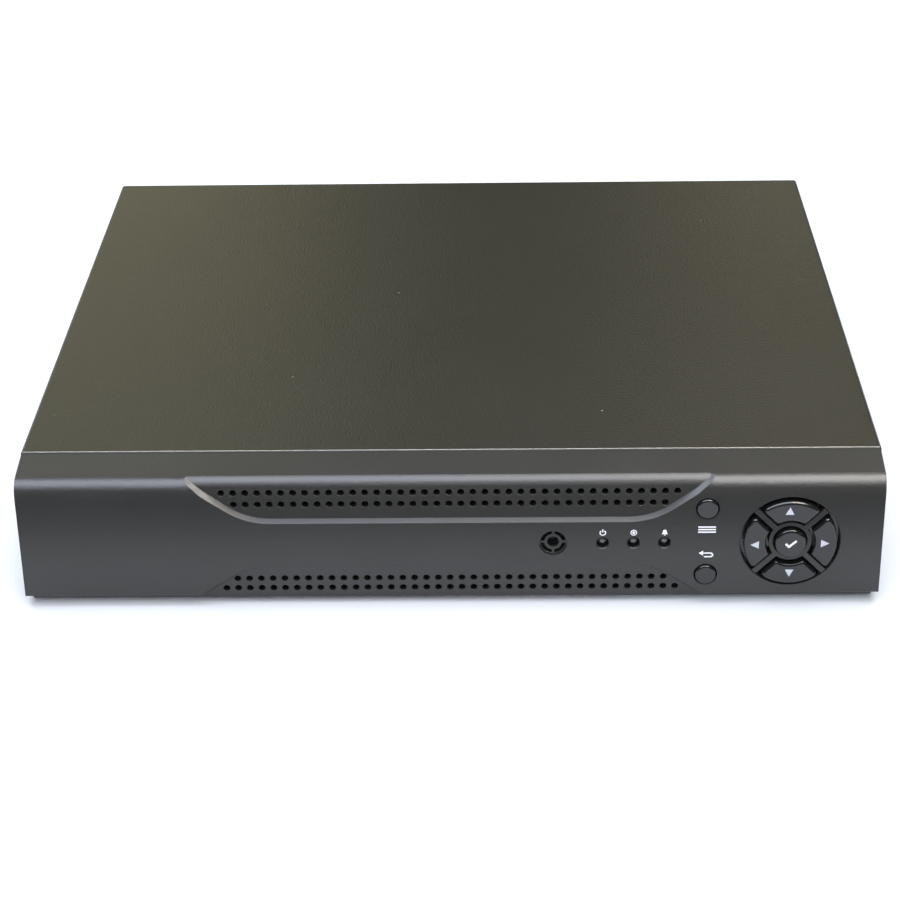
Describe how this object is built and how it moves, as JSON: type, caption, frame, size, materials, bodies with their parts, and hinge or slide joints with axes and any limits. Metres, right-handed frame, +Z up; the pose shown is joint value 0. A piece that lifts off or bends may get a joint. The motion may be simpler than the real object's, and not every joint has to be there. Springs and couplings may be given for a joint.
{
  "type": "video recorder",
  "caption": "Slim desktop video recorder for security cameras: folded steel case, moulded front with vent recesses, arrow pad and keys, rear sockets and fan.",
  "frame": {"origin": "middle of the bounding box's underside, on the plane the feet stand on", "axes": "+X to the right seen from the front, +Y from the front bezel to the rear sockets, +Z up"},
  "size_m": [0.2588, 0.2512, 0.042],
  "materials": {
    "black_abs": "fine satin grain",
    "key_plastic": "smooth, slightly glossy",
    "cover_paint": "fine textured powder coat",
    "tray_paint": "smooth powder coat",
    "foot_rubber": "matt",
    "screw_black": "black oxide",
    "screw_steel": "zinc plated",
    "switch_nylon": "moulded",
    "circuit_board": "green solder mask",
    "lamp_resin": "clear dark resin",
    "white_nylon": "moulded",
    "ribbon_grey": "soft PVC",
    "chip_resin": "moulded epoxy",
    "fin_aluminium": "extruded",
    "can_aluminium": "drawn",
    "brass_hex": "turned",
    "drive_cast": "die cast",
    "drive_steel": "stamped",
    "cable_red": "PVC",
    "cable_black": "PVC",
    "nickel": "nickel plated",
    "gold": "gold plated",
    "socket_black": "moulded",
    "vga_blue": "moulded",
    "tin_shell": "tinned"
  },
  "bodies": {
    "case": {"audio_jacks": "nickel", "board_screws": "screw_steel", "board_standoffs": "brass_hex", "bottom_tray": "tray_paint", "buzzer": "socket_black", "capacitors": "can_aluminium", "case_screws": "screw_black", "cell_holder": "socket_black", "coin_cell": "tin_shell", "drive_board": "circuit_board", "drive_casting": "drive_cast", "drive_data_cable": "cable_red", "drive_headers": "socket_black", "drive_lid": "drive_steel", "drive_screws": "screw_steel", "drive_supply_cable": "cable_black", "fan_frame": "socket_black", "fan_lead": "cable_black", "fan_screws": "screw_black", "front_bezel": "black_abs", "front_ribbon": "ribbon_grey", "hdmi_socket": "tin_shell", "heat_sink": "fin_aluminium", "infrared_receiver": "chip_resin", "key_board": "circuit_board", "led_spacers": "white_nylon", "main_board": "circuit_board", "memory_chips": "chip_resin", "network_socket": "tin_shell", "network_transformer": "chip_resin", "power_jack": "socket_black", "processor": "chip_resin", "ribbon_headers": "socket_black", "rubber_feet": "foot_rubber", "status_leds": "lamp_resin", "switch_bodies": "switch_nylon", "top_cover": "cover_paint", "usb_sockets": "tin_shell", "vga_insert": "vga_blue", "vga_jack_screws": "nickel", "vga_shell": "tin_shell", "video_decoders": "chip_resin", "video_jack_contacts": "gold", "video_jack_insulators": "white_nylon", "video_jacks": "nickel"},
    "up_button": {"up_key": "key_plastic", "up_plunger": "white_nylon"},
    "left_button": {"left_key": "key_plastic", "left_plunger": "white_nylon"},
    "down_button": {"down_key": "key_plastic", "down_plunger": "white_nylon"},
    "right_button": {"right_key": "key_plastic", "right_plunger": "white_nylon"},
    "ok_button": {"ok_key": "key_plastic", "ok_plunger": "white_nylon"},
    "menu_button": {"menu_key": "key_plastic", "menu_plunger": "white_nylon"},
    "esc_button": {"esc_key": "key_plastic", "esc_plunger": "white_nylon"},
    "rotor": {"fan_rotor": "socket_black"}
  },
  "joints": [
    {"name": "up_press", "type": "slide", "parent": "case", "child": "up_button", "axis": [0, 1, 0], "range_m": [0, 0.0005], "stiffness_N_per_m": 800, "springref_m": -0.0003},
    {"name": "left_press", "type": "slide", "parent": "case", "child": "left_button", "axis": [0, 1, 0], "range_m": [0, 0.0005], "stiffness_N_per_m": 800, "springref_m": -0.0003},
    {"name": "down_press", "type": "slide", "parent": "case", "child": "down_button", "axis": [0, 1, 0], "range_m": [0, 0.0005], "stiffness_N_per_m": 800, "springref_m": -0.0003},
    {"name": "right_press", "type": "slide", "parent": "case", "child": "right_button", "axis": [0, 1, 0], "range_m": [0, 0.0005], "stiffness_N_per_m": 800, "springref_m": -0.0003},
    {"name": "ok_press", "type": "slide", "parent": "case", "child": "ok_button", "axis": [0, 1, 0], "range_m": [0, 0.0005], "stiffness_N_per_m": 800, "springref_m": -0.0003},
    {"name": "menu_press", "type": "slide", "parent": "case", "child": "menu_button", "axis": [0, 1, 0], "range_m": [0, 0.0005], "stiffness_N_per_m": 800, "springref_m": -0.0003},
    {"name": "esc_press", "type": "slide", "parent": "case", "child": "esc_button", "axis": [0, 1, 0], "range_m": [0, 0.0005], "stiffness_N_per_m": 800, "springref_m": -0.0003},
    {"name": "fan_spin", "type": "hinge", "parent": "case", "child": "rotor", "pos_m": [-0.108, 0.10785, 0.0194], "axis": [0, 1, 0], "continuous": true}
  ]
}
